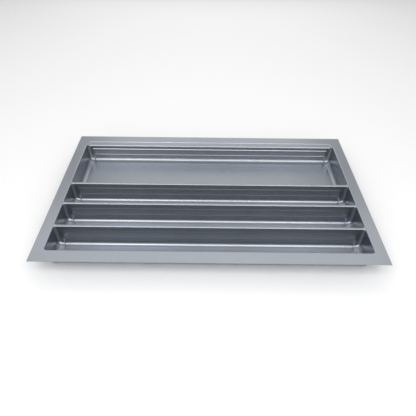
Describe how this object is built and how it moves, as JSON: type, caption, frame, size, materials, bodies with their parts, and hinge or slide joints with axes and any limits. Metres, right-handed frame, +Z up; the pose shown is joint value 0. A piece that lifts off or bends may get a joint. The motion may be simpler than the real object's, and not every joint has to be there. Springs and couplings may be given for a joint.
{
  "type": "cutlery tray",
  "caption": "Thermoformed drawer insert with a large rear pocket, three full-length cutlery channels in front of it and a flat flange all round.",
  "frame": {"origin": "middle of the outline, on the plane that the undersides of the pocket floors stand on", "axes": "+X along the channels, +Y from the front flange to the large rear pocket, +Z up out of the pockets"},
  "size_m": [0.74, 0.49, 0.05],
  "materials": {
    "sheet_plastic": "satin silver-grey, fine moulded grain"
  },
  "bodies": {
    "root": {"tray": "sheet_plastic"}
  },
  "joints": []
}
